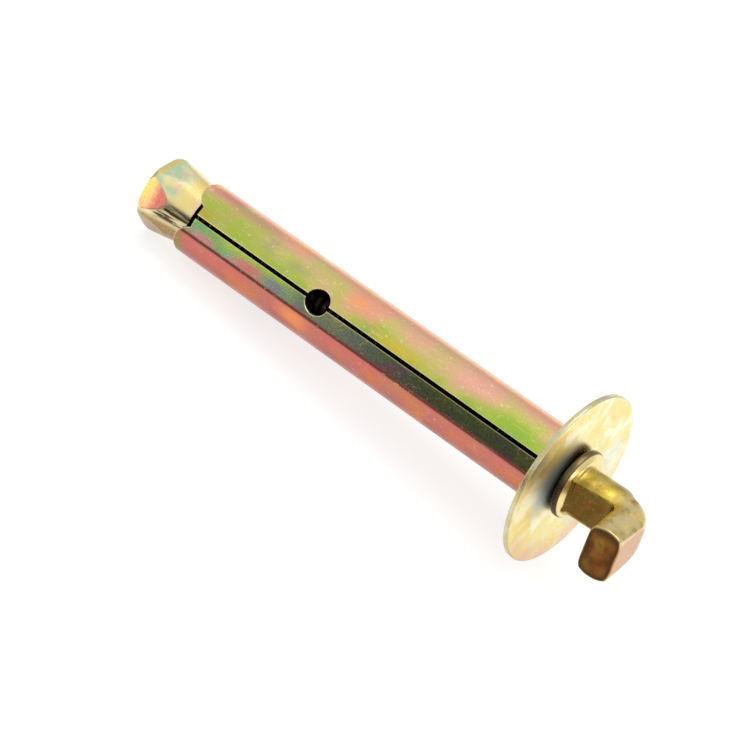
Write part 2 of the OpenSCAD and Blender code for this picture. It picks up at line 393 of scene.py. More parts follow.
def plated(name, film, paleness, marks, roughness, washes=(), edges=0.0, bump=0.05, turn_zero=0.0,
           dull="", rubbed=None):
    """A zinc-plated finish. Each wash is a function that returns a mask and the colour to lay over it.
    Marks are the shares of pricks and scratches, bump is in millimetres, dull names the value of the
    mesh that takes gloss and marks away, and rubbed limits most of the marks to a range of turns."""
    material = bpy.data.materials.new(name)
    material.use_nodes = True
    tree = material.node_tree
    shader = tree.nodes["Principled BSDF"]
    here = put(tree, "ShaderNodeGroup", node_tree=place_on_bolt).outputs
    turn = calc(tree, "WRAP", calc(tree, "SUBTRACT", here["Turn"], turn_zero), math.pi, -math.pi)
    laid = {"Place": here["Place"], "Turn": turn, **film}
    depth = put(tree, "ShaderNodeGroup", laid, node_tree=film_depth).outputs["Depth"]
    shown = {"Depth": depth, "Paleness": paleness}
    colour = put(tree, "ShaderNodeGroup", shown, node_tree=film_colour).outputs["Colour"]
    for wash in washes:
        mask, shade = wash(tree, here, turn)
        colour = tint(tree, mask, colour, shade)
    knocks = {"Place": here["Place"], "Pricks": marks[0], "Scratches": marks[1]}
    worn = put(tree, "ShaderNodeGroup", knocks, node_tree=handling_marks).outputs
    bright = worn["Marks"]
    if rubbed:
        side = calc(tree, "MULTIPLY_ADD", band(tree, turn, *rubbed), 0.75, 0.25)
        bright = calc(tree, "MULTIPLY", bright, side)
    if dull:
        bright = calc(tree, "MULTIPLY", bright, calc(tree, "SUBTRACT", 1.0, field(tree, dull)))
    colour = tint(tree, bright, colour, MARK_COLOUR)
    # Cream along the edges: partly bare zinc, partly a painted highlight.
    if edges:
        edge_wear_glint = calc(tree, "MULTIPLY", field(tree, "bare_edge"), edges)
        colour = tint(tree, edge_wear_glint, colour, EDGE_COLOUR)
    tree.links.new(colour, shader.inputs["Base Color"])
    shader.inputs["Metallic"].default_value = 1.0
    rough = ramped(tree, worn["Grain"], 0.3, 0.7, roughness - 0.05, roughness + 0.07)
    if dull:
        rough = calc(tree, "MULTIPLY_ADD", field(tree, dull), 0.25, rough)
    tree.links.new(rough, shader.inputs["Roughness"])
    dents = {"Strength": 0.35, "Distance": bump / 1000, "Height": worn["Height"]}
    tree.links.new(put(tree, "ShaderNodeBump", dents).outputs[0], shader.inputs["Normal"])
    print("finish", name, "with", len(tree.nodes), "nodes")
    return material


print("finish builder ready")

# %% [markdown]
# ## The sleeve
# The real sleeve is punched from flat sheet and then rolled, so it is made that way here. First the
# outline of the flat blank is drawn: the seam edges, the half holes on them, the tongues, and the
# keyhole slit in the middle. Cutting a tube with booleans would work too, but its edges would be sharp.

# %% Outline of the flat blank
seam_half = SEAM / 2
seam_angle = math.asin(seam_half / SLEEVE_R)
tongue_in = TONGUE_R - TONGUE_LIFT
tongue_off = NOTCH_W / 2 + math.sqrt(TONGUE_R ** 2 - (tongue_in - NOTCH_DEPTH) ** 2)


def run(a, b, step):
    """Points from a up to but not including b."""
    a, b = np.array(a, float), np.array(b, float)
    count = max(1, round(float(np.linalg.norm(b - a)) / step))
    return [a + (b - a) * k / count for k in range(count)]


def tongue_quarter():
    """From the seam corner of a notch over the tongue's corner to its middle, as (x, arc length)."""
    flat = lambda y: SLEEVE_R * math.asin(min(1.0, y / SLEEVE_R))
    points = [(tip_x + NOTCH_DEPTH, flat(y)) for y in np.linspace(seam_half, NOTCH_W / 2, 6)]
    first = math.atan2(NOTCH_W / 2 - tongue_off, NOTCH_DEPTH - tongue_in)
    last = math.atan2(-math.sqrt(TONGUE_R ** 2 - tongue_in ** 2), -tongue_in)
    for a in np.linspace(first, last, 18)[1:]:
        over = flat(tongue_off + TONGUE_R * math.sin(a))
        points.append((tip_x + tongue_in + TONGUE_R * math.cos(a), over))
    middle = SLEEVE_R * math.pi / 2
    points += [tuple(p) for p in run(points[-1], (tip_x, middle), 0.3)[1:]]
    return [np.array(p) for p in points] + [np.array((tip_x, middle))]


def hole_arc(centre, start, stop, count):
    """Part of a relief hole in the flat blank."""
    return [np.array((relief_x + RELIEF_R * math.cos(a), centre + RELIEF_R * math.sin(a)))
            for a in np.linspace(start, stop, count)]


def half_blank():
    """Half of the outline, from the washer end along the seam to the far side of the keyhole."""
    seam_s, slit_s, lap = SLEEVE_R * seam_angle, SLEEVE_R * math.pi, math.asin(seam_half / RELIEF_R)
    quarter = tongue_quarter()
    arc = hole_arc(0.0, lap, math.pi - lap, 24)
    points = run((sleeve_end, seam_s), arc[0], 0.5) + arc
    points += run(arc[-1], quarter[0], 0.5)[1:] + quarter
    points += [np.array((x, slit_s - s)) for x, s in reversed(quarter[:-1])]
    keyhole = hole_arc(slit_s, -math.pi + lap, 0.0, 24)
    return points + run(points[-1], keyhole[0], 0.5)[1:] + keyhole


half = half_blank()
full_s = 2 * math.pi * SLEEVE_R
outline = half + [np.array((x, full_s - s)) for x, s in reversed(half[:-1])]
outline += run(outline[-1], outline[0], 0.32)[1:]
outline = np.array(outline)
print("blank outline points", len(outline), "length", SLEEVE_LEN, "width", round(full_s - SEAM, 2))

# %% [markdown]
# The blank needs points inside its outline, or it could not bend. A constrained Delaunay
# triangulation joins a grid of them to the outline. Two insets of the outline give the sheet its
# rounded edges, and lines of points along the crease keep the flat strip beside the seam crisp.

# %% Flat blank with rounded edges
EDGE, EDGE_ROOM = 0.13, 0.05
GRID_ALONG, GRID_TURN, GRID_ROOM = 0.85, math.radians(3.2), 0.28
CREASE_STEP, CREASE_SIDE, CREASE_ROOM, CREASE_CLEAR = 0.5, 0.09, 0.2, 0.25
strip_half = math.asin((STRIP_W + seam_half) / 2 / SLEEVE_R)


def inset(loop, distance):
    """The loop moved inward by a distance, with mitred corners."""
    ahead = np.roll(loop, -1, axis=0) - loop
    ahead /= np.linalg.norm(ahead, axis=1)[:, None]
    normal = np.column_stack([-ahead[:, 1], ahead[:, 0]])
    area = np.sum(loop[:, 0] * np.roll(loop[:, 1], -1) - loop[:, 1] * np.roll(loop[:, 0], -1))
    normal *= math.copysign(1.0, area)
    both = normal + np.roll(normal, 1, axis=0)
    share = 1 + np.sum(normal * np.roll(normal, 1, axis=0), axis=1)
    return loop + distance * both / np.maximum(share, 0.4)[:, None]


def inside(loop, points):
    """Which points lie inside the loop, by counting crossings."""
    x, y = points[:, :1], points[:, 1:]
    a, b = loop, np.roll(loop, -1, axis=0)
    crosses = (a[:, 1] > y) != (b[:, 1] > y)
    rise = np.where(b[:, 1] == a[:, 1], 1e-12, b[:, 1] - a[:, 1])
    return np.sum(crosses & (x < a[:, 0] + (y - a[:, 1]) * (b[:, 0] - a[:, 0]) / rise), axis=1) % 2 == 1


def clear_of(points, loop, room):
    """The points that keep a distance from the loop."""
    near = KDTree(len(loop))
    for i, p in enumerate(loop):
        near.insert((p[0], p[1], 0), i)
    near.balance()
    return np.array([p for p in points if near.find((p[0], p[1], 0))[2] > room])


face_loop = inset(outline, EDGE + EDGE_ROOM)
stations = np.arange(tip_x, sleeve_end, GRID_ALONG)
across = np.arange(0, full_s, SLEEVE_R * GRID_TURN)
grid = np.array([(x, s) for x in stations for s in across])
grid = clear_of(grid[inside(face_loop, grid)], face_loop, GRID_ROOM)
crease_s = full_s - 2 * strip_half * SLEEVE_R
grid = grid[np.abs(grid[:, 1] - crease_s) > CREASE_CLEAR]
coords = [Vector(p) for p in face_loop]
edges = [(i, (i + 1) % len(coords)) for i in range(len(coords))]
for offset in (-CREASE_SIDE, 0.0, CREASE_SIDE):
    line = np.array([(x, crease_s + offset) for x in np.arange(tip_x, sleeve_end, CREASE_STEP)])
    line = clear_of(line[inside(face_loop, line)], face_loop, CREASE_ROOM)
    edges += [(len(coords) + i, len(coords) + i + 1) for i in range(len(line) - 1)]
    coords += [Vector(p) for p in line]
coords += [Vector(p) for p in grid]
flat_points, _, flat_faces, *_ = delaunay_2d_cdt(coords, edges, [], 1, 1e-5)
print("blank face points", len(flat_points), "triangles", len(flat_faces))

# %% [markdown]
# The two faces and the edge rings are sewn together into one closed sheet. The rings at the edge
# carry an attribute that says how strongly a cream edge is laid there, partly bare zinc and partly a
# painted highlight, and the finish reads it later.

# %% Sew the blank together
loops = [(EDGE + EDGE_ROOM, 0.0, 0.0), (EDGE, 0.0, 0.6), (0.3 * EDGE, 0.3 * EDGE, 1.0), (0.0, EDGE, 1.0)]
rings = [(inset(outline, d), -h, edge_wear_glint) for d, h, edge_wear_glint in loops]
rings += [(loop, -SHEET - h, edge_wear_glint * 0.5) for loop, h, edge_wear_glint in reversed(rings)]
points, edge_wear_glint = [], []
for loop, h, worn in rings:
    points += [(x, s, h) for x, s in loop]
    edge_wear_glint += [worn * (0.4 if s > full_s - 1 else 1.0) for _, s in loop]
faces = ring_faces(len(rings), len(outline))
for h, flip in ((0.0, False), (-SHEET, True)):
    base = len(points)
    points += [(p.x, p.y, h) for p in flat_points]
    edge_wear_glint += [0.0] * len(flat_points)
    faces += [tuple(base + i for i in (reversed(f) if flip else f)) for f in flat_faces]
blank_mesh = bpy.data.meshes.new("flat_blank")
blank_mesh.from_pydata(points, [], faces)
blank_mesh.attributes.new("bare_edge", "FLOAT", "POINT").data.foreach_set("value", edge_wear_glint)
blank = into_scene(bpy.data.objects.new("flat_blank", blank_mesh))
print("blank points", len(points), "faces", len(faces))

# %% [markdown]
# Rolling is a rule: the distance across the sheet becomes an angle. That is a job for Geometry
# Nodes, because the same tree rolls any blank to any radius. Set Position writes the new place of
# each point, and a cosine flattens the strip that the rollers of the real machine could not reach.

# %% Tree: roll a blank into a sleeve
def end_tree(tree, geometry, finish):
    """Ends a geometry tree in Realize Instances and Set Material."""
    real = put(tree, "GeometryNodeRealizeInstances", {0: geometry})
    done = put(tree, "GeometryNodeSetMaterial", {"Geometry": real.outputs[0], "Material": finish})
    close_group(tree, Geometry=done.outputs[0])


tree, given = group("roll_blank", GEOMETRY,
                    [("Geometry", "NodeSocketGeometry", None), ("Radius", FLOAT, 6.0),
                     ("Flat strip", FLOAT, 0.2), ("Finish", "NodeSocketMaterial", None)],
                    [("Geometry", "NodeSocketGeometry")])
parts = put(tree, "ShaderNodeSeparateXYZ", {0: put(tree, "GeometryNodeInputPosition").outputs[0]}).outputs
angle = calc(tree, "DIVIDE", parts[1], given["Radius"])
strip_mid = calc(tree, "SUBTRACT", 2 * math.pi, given["Flat strip"])
from_mid = calc(tree, "ABSOLUTE", calc(tree, "SUBTRACT", angle, strip_mid))
lean_in = calc(tree, "COSINE", calc(tree, "MINIMUM", from_mid, given["Flat strip"]))
pull = calc(tree, "DIVIDE", calc(tree, "COSINE", given["Flat strip"]), lean_in)
reach = calc(tree, "MULTIPLY", calc(tree, "ADD", given["Radius"], parts[2]), pull)
side, up = [calc(tree, "MULTIPLY", reach, calc(tree, wave, angle)) for wave in ("SINE", "COSINE")]
rolled = put(tree, "ShaderNodeCombineXYZ", {0: parts[0], 1: side, 2: up}).outputs[0]
moved = put(tree, "GeometryNodeSetPosition", {"Geometry": given["Geometry"], "Position": rolled})
end_tree(tree, moved.outputs[0], given["Finish"])
roll_blank = tree


def grown(obj, tree, values):
    """Runs a geometry tree on an object and returns the result as a plain mesh."""
    modifier = obj.modifiers.new(tree.name, "NODES")
    modifier.node_group = tree
    for item in tree.interface.items_tree:
        if item.in_out == "INPUT" and item.name in values:
            modifier[item.identifier] = values[item.name]
    obj.update_tag()
    graph = bpy.context.evaluated_depsgraph_get()
    mesh = bpy.data.meshes.new_from_object(obj.evaluated_get(graph))
    obj.modifiers.remove(modifier)
    bpy.data.objects.remove(obj)
    return mesh


print("tree", tree.name)

# %% [markdown]
# On the real sleeve the film goes from pink at the top through tan and lime to the seam, is green
# and mauve on the flat strip, and turns rose and orange underneath. That is the order of the film
# colours, so the depth only has to swing once around the sleeve. Washes add the orange spot by the
# hole. Other washes paint light: a dark strip near the washer is a painted reflection, the dark line
# along the crease is painted shade, and the underside is painted darker towards its lower edge.

# %% Finish of the sleeve
SEAM_TURN = -math.radians(SEAM_ROLL)
crease = -2 * strip_half
strip = (crease, -0.05, 0.05)
low_strip = (crease, crease + 0.28, 0.1)
upper_washes = [
    stain_and_painted_light((0.65, 0.73, 0.28), 0.75, along=(tip_x - 1, tip_x + 13, 4.0), around=(0.03, 0.75, 0.2)),
    stain_and_painted_light((0.94, 0.64, 0.54), 0.9, along=(relief_x + 3, relief_x + 10, 2.0), around=(0.32, 1.15, 0.25)),
    stain_and_painted_light((1.0, 0.66, 0.36), 0.9, along=(relief_x + 4.3, relief_x + 6.2, 1.6), around=(0.5, 0.75, 0.18)),
    stain_and_painted_light((0.92, 0.68, 0.60), 0.85, along=(-22.5, -12.5, 3.0), around=(0.32, 1.1, 0.22)),
    stain_and_painted_light((0.62, 0.77, 0.24), 0.7, along=(-15.0, -2.0, 4.0), around=(0.02, 0.4, 0.15)),
    stain_and_painted_light((0.84, 0.74, 0.26), 0.7, along=(-35.0, -26.0, 3.0), around=(0.04, 0.35, 0.12)),
    stain_and_painted_light((0.96, 0.66, 0.42), 0.6, around=(1.35, 2.3, 0.25)),
    stain_and_painted_light((0.70, 0.62, 0.42), 0.6, along=(-67.0, -58.0, 3.0), around=(0.75, 1.05, 0.15)),
    stain_and_painted_light((0.84, 0.55, 0.50), 0.75, along=(tip_x + 1.5, tip_x + 7, 1.5), around=(0.85, 1.35, 0.2)),
    stain_and_painted_light((0.78, 0.64, 0.28), 0.6, along=(tip_x + 2.0, tip_x + 5, 1.5), around=(0.0, 0.3, 0.12)),
    stain_and_painted_light((0.68, 0.62, 0.52), 0.65, along=(-60.0, -49.0, 3.0), around=(0.35, 0.8, 0.15),
          grain=(5.0, 0.42, 0.58)),
]
strip_washes = [
    stain_and_painted_light((0.40, 0.60, 0.40), 0.75, along=(tip_x - 1, -64.0, 2.5), around=strip),
    stain_and_painted_light((0.80, 0.50, 0.52), 0.75, along=(-69.5, -65.5, 1.5), around=(crease, crease + 0.2, 0.08)),
    stain_and_painted_light((0.84, 0.45, 0.48), 0.9, along=(-61.0, -56.0, 2.5), around=low_strip),
    stain_and_painted_light((0.52, 0.46, 0.60), 0.85, along=(-54.5, -51.5, 2.0), around=low_strip),
    stain_and_painted_light((0.46, 0.45, 0.42), 0.75, along=(-50.0, -30.0, 3.0), around=strip),
    # Painted reflection: the strip is laid dark grey from the middle of the sleeve to the washer.
    stain_and_painted_light((0.27, 0.26, 0.20), 0.85, along=(-33.0, 10.0, 10.0), around=(crease, -0.03, 0.03)),
]
under_washes = [
    stain_and_painted_light((0.76, 0.41, 0.36), 0.85, around=(-2.8, crease + 0.02, 0.03)),
    stain_and_painted_light((0.82, 0.49, 0.25), 0.75, around=(-2.8, -0.75, 0.2), grain=(7.0, 0.44, 0.60)),
    stain_and_painted_light((0.92, 0.58, 0.34), 0.7, along=(-51.0, -46.0, 2.0), around=(-1.0, -0.58, 0.12)),
    # Painted shade: the underside is laid dark red-brown towards its lower edge.
    stain_and_painted_light((0.55, 0.28, 0.20), 0.85, around=(-2.6, -1.1, 0.3), grain=(6.0, 0.35, 0.6)),
    stain_and_painted_light((0.55, 0.50, 0.30), 0.7, along=(tip_x - 1, tip_x + 2.0, 0.9), around=(-1.6, -0.5, 0.12)),
    # Painted shade: a dark line along the crease.
    stain_and_painted_light((0.20, 0.10, 0.08), 0.85, around=(crease - 0.07, crease + 0.01, 0.035)),
]
sleeve_film = dict(Base=0.65, Swing=0.27, Phase=0.0, Drift=0.36, Patch=7.0, Stretch=0.75, Seed=2.3)
sleeve_zinc = plated("sleeve_zinc", sleeve_film, 0.05, (0.8, 0.3), 0.25,
                     upper_washes + strip_washes + under_washes, edges=0.6, bump=0.02,
                     turn_zero=SEAM_TURN, rubbed=(0.1, 2.2, 0.3))

# %% [markdown]
# Now the tree rolls the blank. The result is a plain mesh, which is turned about the bolt's axis so
# that the seam and its flat strip face the front, as they lie in the photo.

# %% Roll and place the sleeve
mesh = grown(blank, roll_blank, {"Radius": SLEEVE_R, "Flat strip": strip_half, "Finish": sleeve_zinc})
roll = Matrix.Rotation(math.radians(SEAM_ROLL), 4, "X")
settle("sleeve_shell", mesh, lay_down @ roll, sleeve_zinc, "sleeve", "sleeve", "sleeve")

# %% [markdown]
# ## The cone nut
# The nut starts as hexagon bar. Turning a cone on it leaves an arch at the end of each flat. A ring
# of points at each depth takes the smallest of three radii: the hexagon, the cone and the turned
# corner. A soft minimum rounds the edges where they meet, which a boolean cannot do. The small end
# reaches 0.4 mm further into the sleeve than the solid does, because it shows in the notches.

# %% Shape of the nut
cone_slope = math.tan(math.radians(CONE_ANGLE))
nut_len = NUT_OUT + NUT_IN
cone_small_r = CONE_TIP_R - NUT_IN * cone_slope
NUT_COLUMNS, NUT_STEP = 432, 0.105
LATHE_BLEND, FLAT_BLEND, ARCH_WIDTH = 0.07, 0.09, 0.05


def soft_min(a, b, blend):
    """The smaller of two values with a rounded crossing, and how near the crossing is, from 0 to 1."""
    near = np.maximum(blend - np.abs(a - b), 0) / blend
    return np.minimum(a, b) - near * near * blend / 4, near


def nut_ring(depth):
    """Angles around the nut at a depth, with the radius, the nearness of an edge and what was turned."""
    angles = np.linspace(0, 2 * math.pi, NUT_COLUMNS, endpoint=False)
    sector = (angles + math.pi / 6) % (math.pi / 3) - math.pi / 6
    hexagon = NUT_FLAT_R / np.cos(sector)
    corner = NUT_TURN_R - (NUT_TURN_R - NUT_END_R) * (1 - min(depth / NUT_CHAMFER, 1.0)) ** 2
    cone = cone_small_r + (nut_len - depth) * cone_slope
    lathe = soft_min(np.full(NUT_COLUMNS, corner), cone, LATHE_BLEND)[0]
    radius, edge = soft_min(hexagon, lathe, FLAT_BLEND)
    return angles, radius, edge, np.clip((hexagon - lathe) / ARCH_WIDTH, 0, 1)


def nut_points():
    """Rings down the outside, and back through the bore, with the values that the finish reads."""
    ends = [(0.0, 0.14), (0.02, 0.08), (0.06, 0.03), (0.14, 0.0)]
    depths = ends + [(d, 0.0) for d in np.arange(0.22, nut_len - 0.12, NUT_STEP)]
    depths += [(nut_len - 0.1, 0.0), (nut_len - 0.03, 0.03), (nut_len, 0.1)]
    bore = [(nut_len, 0.05), (nut_len - 0.05, 0.0), (SINK + 0.05, 0.0), (SINK - 0.05, 0.05),
            (0.06, SINK - 0.06), (0.0, SINK + 0.05), (0.0, SINK + 0.12)]
    points, edges, turned_share, bored = [], [], [], []
    for depth, trim in depths:
        angles, radius, edge, lathe = nut_ring(depth)
        for a, r in zip(angles, radius - trim):
            points.append((nut_x + depth, r * math.sin(a), r * math.cos(a)))
        edges += list(edge)
        turned_share += list(lathe)
        bored += [0.0] * NUT_COLUMNS
    for depth, wider in bore:
        r = NUT_BORE_R + wider
        points += [(nut_x + depth, r * math.sin(a), r * math.cos(a)) for a in angles]
        edges += [0.0] * NUT_COLUMNS
        turned_share += [0.0] * NUT_COLUMNS
        bored += [1.0 if 0.1 < depth < nut_len - 0.01 else 0.0] * NUT_COLUMNS
    flat = [1 - share for share in turned_share]
    fields = {"bare_edge": edges, "turned": turned_share, "bored": bored, "flat": flat}
    return points, ring_faces(len(depths) + len(bore), NUT_COLUMNS, closed_rows=True), fields


print("nut length", nut_len, "small end radius", round(cone_small_r, 2))

# %% [markdown]
# The nut has the thinnest film, so it is pale straw with cool hints on the upper flat. One flat runs
# from yellow to red. Brown streaks along the cone are a painted reflection of dark surroundings, and
# the bore is painted dark as shade. The flats are told apart by their turn around the axis.

# %% Finish of the nut
def on_nut(low, high, soft):
    """A stretch along the nut, counted from its free end."""
    return nut_x + low, nut_x + high, soft


def painted_cone_reflection(tree, here, turn):
    """Brown streaks along the cone, a painted reflection: a glossy cone mirrors dark surroundings in bands.
    """
    long_way = calc(tree, "MULTIPLY", here["Along"], 0.12)
    round_way = calc(tree, "MULTIPLY", turn, 6.0)
    drawn_out = put(tree, "ShaderNodeCombineXYZ", {0: long_way, 1: round_way}).outputs[0]
    reflection_band = ramped(tree, clouds(tree, drawn_out, 1.4, 2.0), 0.44, 0.54, 0.3)
    dark_band = stain_and_painted_light((0.27, 0.16, 0.11), 0.95, along=on_nut(3.0, 12, 0.7), around=(-1.5, -0.95, 0.1),
                  only="turned")
    mask, colour = dark_band(tree, here, turn)
    return calc(tree, "MULTIPLY", mask, reflection_band), colour


front_flat = (-1.65, -0.5, 0.1)
nut_washes = [
    stain_and_painted_light((0.68, 0.81, 0.68), 0.9, along=on_nut(0.8, 6.0, 1.2), around=(-0.75, 0.5, 0.25),
          grain=(3.0, 0.40, 0.56)),
    stain_and_painted_light((0.93, 0.76, 0.62), 0.6, along=on_nut(3.5, 12, 1.5), around=(-1.1, 1.6, 0.25),
          grain=(2.4, 0.40, 0.62)),
    stain_and_painted_light((0.82, 0.71, 0.40), 0.65, along=on_nut(-1, 1.2, 0.7), around=(-0.5, 1.2, 0.25)),
    stain_and_painted_light((0.95, 0.86, 0.50), 0.65, along=on_nut(5.6, 8.4, 0.8), around=(-0.95, 0.4, 0.25), only="turned"),
    stain_and_painted_light((0.92, 0.70, 0.50), 0.9, around=front_flat, only="flat"),
    stain_and_painted_light((0.93, 0.83, 0.44), 0.85, along=on_nut(-1, 1.7, 0.9), around=(-1.25, -0.4, 0.25), only="flat"),
    stain_and_painted_light((0.60, 0.46, 0.29), 0.9, along=on_nut(0.3, 12, 0.5), around=(-2.65, -1.55, 0.12)),
    stain_and_painted_light((0.80, 0.42, 0.38), 0.9, along=on_nut(2.3, 6.0, 0.9), around=front_flat, only="flat"),
    painted_cone_reflection,
    # Painted shade: the inside of the bore is laid near black.
    stain_and_painted_light((0.16, 0.12, 0.08), 0.85, only="bored"),
]
nut_film = dict(Base=0.05, Swing=0.03, Phase=0.6, Drift=0.14, Patch=3.2, Stretch=0.8, Seed=7.1)
nut_zinc = plated("nut_zinc", nut_film, 0.35, (0.4, 0.25), 0.24, nut_washes, edges=0.25, bump=0.03)
piece("nut_block", *nut_points(), lay_down, nut_zinc, "cone_nut", "cone_nut", "cone_nut")

# %% [markdown]
# ## The thread
# A thread is a ridge that follows a helix, so Geometry Nodes sweep a trapezoid along a spiral. The
# spiral node winds left by default, and Reverse makes it the right-hand thread of the real rod. The
# scale fades at both ends, as a thread runs out. One tree cuts both the rod and the nut: the profile
# faces outward on the rod and inward in the nut.

# %% Tree: thread ridge
tree, given = group("thread_ridge", GEOMETRY,
                    [("Base radius", FLOAT, 3.33), ("Height", FLOAT, 0.6), ("Base width", FLOAT, 1.0),
                     ("Crest width", FLOAT, 0.16), ("Pitch", FLOAT, 1.25), ("Turns", FLOAT, 4.0),
                     ("Facing", FLOAT, 1.0), ("Fade", FLOAT, 0.5), ("Finish", "NodeSocketMaterial", None)],
                    [("Geometry", "NodeSocketGeometry")])
thread_len = calc(tree, "MULTIPLY", given["Turns"], given["Pitch"])
helix = put(tree, "GeometryNodeCurveSpiral",
            {"Resolution": 40, "Rotations": given["Turns"], "Start Radius": given["Base radius"],
             "End Radius": given["Base radius"], "Height": thread_len, "Reverse": True})
upright = put(tree, "GeometryNodeSetCurveNormal", {"Curve": helix.outputs[0]}, mode="Z_UP")
shape = put(tree, "GeometryNodeCurvePrimitiveQuadrilateral",
            {"Height": given["Height"], "Bottom Width": given["Base width"],
             "Top Width": given["Crest width"], "Offset": 0.0}, mode="TRAPEZOID")
lift = put(tree, "ShaderNodeCombineXYZ", {1: calc(tree, "MULTIPLY", given["Height"], 0.5)})
seated = put(tree, "GeometryNodeTransform", {"Geometry": shape.outputs[0], "Translation": lift.outputs[0]})
aim = put(tree, "ShaderNodeCombineXYZ", {2: calc(tree, "MULTIPLY", given["Facing"], -math.pi / 2)})
turned_out = put(tree, "GeometryNodeTransform", {"Geometry": seated.outputs[0], "Rotation": aim.outputs[0]})
along = calc(tree, "MULTIPLY", put(tree, "GeometryNodeSplineParameter").outputs["Factor"], given["Turns"])
left = calc(tree, "SUBTRACT", given["Turns"], along)
grown_in = calc(tree, "DIVIDE", calc(tree, "MINIMUM", along, left), given["Fade"])
fade = put(tree, "ShaderNodeMath", {0: grown_in, 1: 0.05}, operation="ADD", use_clamp=True).outputs[0]
swept = put(tree, "GeometryNodeCurveToMesh",
            {"Curve": upright.outputs[0], "Profile Curve": turned_out.outputs[0], "Scale": fade,
             "Fill Caps": True})
end_tree(tree, swept.outputs[0], given["Finish"])
thread_ridge = tree


def thread(name, start, values, material, body, slot):
    """Grows a ridge from start along the bolt and hands it to a body."""
    empty = into_scene(bpy.data.objects.new(name, bpy.data.meshes.new(name)))
    mesh = grown(empty, thread_ridge, {**values, "Pitch": PITCH, "Fade": 0.4, "Finish": material})
    along_bolt = Matrix.Translation((start, 0, 0)) @ Matrix.Rotation(math.pi / 2, 4, "Y")
    obj = settle(name, mesh, lay_down @ along_bolt, material, body, slot)
    obj.data.set_sharp_from_angle(angle=math.radians(25))


print("tree", tree.name)

# %% [markdown]
# The rod is a core with the ridge wound on it. The ridge of the nut starts half a pitch off, so the
# two stay clear of each other, and they keep clear while the nut runs along, because the joint moves
# it by one pitch per turn. Inside the sleeve the rod is painted nearly black, as the shade in the
# sleeve, and outside it is brassy.

# %% Rod and threads
CORE_R, CORE_END, CORE_LEAD, OVERLAP, NUT_OVERLAP = 3.34, 0.3, 0.5, 0.03, 0.04
THREAD_START, THREAD_LEAD, THREAD_PAST, NUT_RUNOUT = 0.6, 0.7, 0.1, 0.55
rod_film = dict(Base=0.10, Drift=0.1, Patch=6.0, Seed=4.0)
rod_washes = [
    stain_and_painted_light((0.46, 0.37, 0.19), 0.7),
    # Painted shade: the rod inside the sleeve is laid nearly black.
    stain_and_painted_light((0.07, 0.06, 0.05), 0.97, along=(tip_x + 0.7, 10.0, 0.5)),
]
rod_zinc = plated("rod_zinc", rod_film, 0.0, (0.2, 0.2), 0.36, rod_washes, bump=0.03)
core_line = [(rod_x, 0.01), (rod_x, CORE_R - CORE_LEAD), (rod_x + CORE_LEAD, CORE_R),
             (seat_x + CORE_END, CORE_R), (seat_x + CORE_END, 0.01)]
core = rounded(core_line, [0.1, 0.1, 0.0])
piece("rod_core", *turned(core, 96), {}, lay_down, rod_zinc, "hook_bolt", "hook_bolt")
rod_start = rod_x + THREAD_START
rod_turns = math.floor((seat_x + THREAD_PAST - rod_x - THREAD_LEAD) / PITCH * 4) / 4
rod_ridge = {"Base radius": CORE_R - OVERLAP, "Height": ROD_R - CORE_R + OVERLAP, "Base width": 1.0,
             "Crest width": 0.17, "Turns": rod_turns, "Facing": 1.0}
thread("rod_thread", rod_start, rod_ridge, rod_zinc, "hook_bolt", "hook_bolt")
nut_start = rod_start - 1.5 * PITCH
nut_turns = math.floor((nut_x + nut_len - NUT_RUNOUT - nut_start) / PITCH * 4) / 4
nut_ridge = {"Base radius": NUT_BORE_R + NUT_OVERLAP, "Height": 0.62, "Base width": 0.95,
             "Crest width": 0.25, "Turns": nut_turns, "Facing": -1.0}
thread("nut_thread", nut_start, nut_ridge, rod_zinc, "cone_nut", "cone_nut")
print("rod turns", rod_turns, "nut turns", nut_turns)
print("the nut thread starts", round(nut_start - nut_x, 2), "mm inside the nut")

# %% [markdown]
# ## The washer
# A washer is blanked from sheet with one blow. The punch rolls one edge over and leaves the other
# sharp, so the two rims get different radii. A turned profile is enough, with extra rings close to
# the rims so that the wide face stays flat in the light. Handling has rubbed one side dull, where the
# collar mirrors as a soft smear, so the mesh carries a value that says how dull each point is.

# %% Washer
washer_washes = [
    stain_and_painted_light((0.93, 0.80, 0.44), 0.6, around=(0.0, 3.3, 0.4), grain=(4.5, 0.50, 0.64)),
    stain_and_painted_light((0.98, 0.97, 0.87), 0.7, grain=(3.0, 0.47, 0.60)),
    stain_and_painted_light((0.78, 0.87, 0.86), 0.9, around=(1.5, 2.9, 0.4), ring=(5.0, 12.0, 1.5), grain=(4.0, 0.36, 0.6)),
    # Painted reflection: a grey-blue smear where the washer mirrors the collar and shank.
    stain_and_painted_light((0.70, 0.77, 0.78), 0.8, around=(-1.95, -0.2, 0.35), ring=(3.0, 8.6, 1.8)),
    *[stain_and_painted_light((0.90, 0.70, 0.60), 0.8, around=side, ring=(11.0, 15.0, 1.5), grain=(3.0, 0.3, 0.6))
      for side in ((2.0, 3.2, 0.3), (-3.2, -2.0, 0.3))],
    stain_and_painted_light((0.62, 0.62, 0.52), 0.55, ring=(13.82, 15.0, 0.08)),
]
washer_film = dict(Base=0.05, Swing=0.03, Phase=2.4, Drift=0.13, Patch=4.0, Stretch=1.0, Seed=11.0)
washer_zinc = plated("washer_zinc", washer_film, 0.1, (0.3, 0.2), 0.24, washer_washes, dull="dull_share")
WASHER_COLUMNS, RING_ROOM = 192, 0.3
SMEAR_R, SMEAR_REACH, SMEAR_TURN = 8.5, 7.5, math.radians(278)
face_rings = [(WASHER_T, r) for r in np.linspace(WASHER_R - 0.45, WASHER_BORE_R + RING_ROOM, 9)]
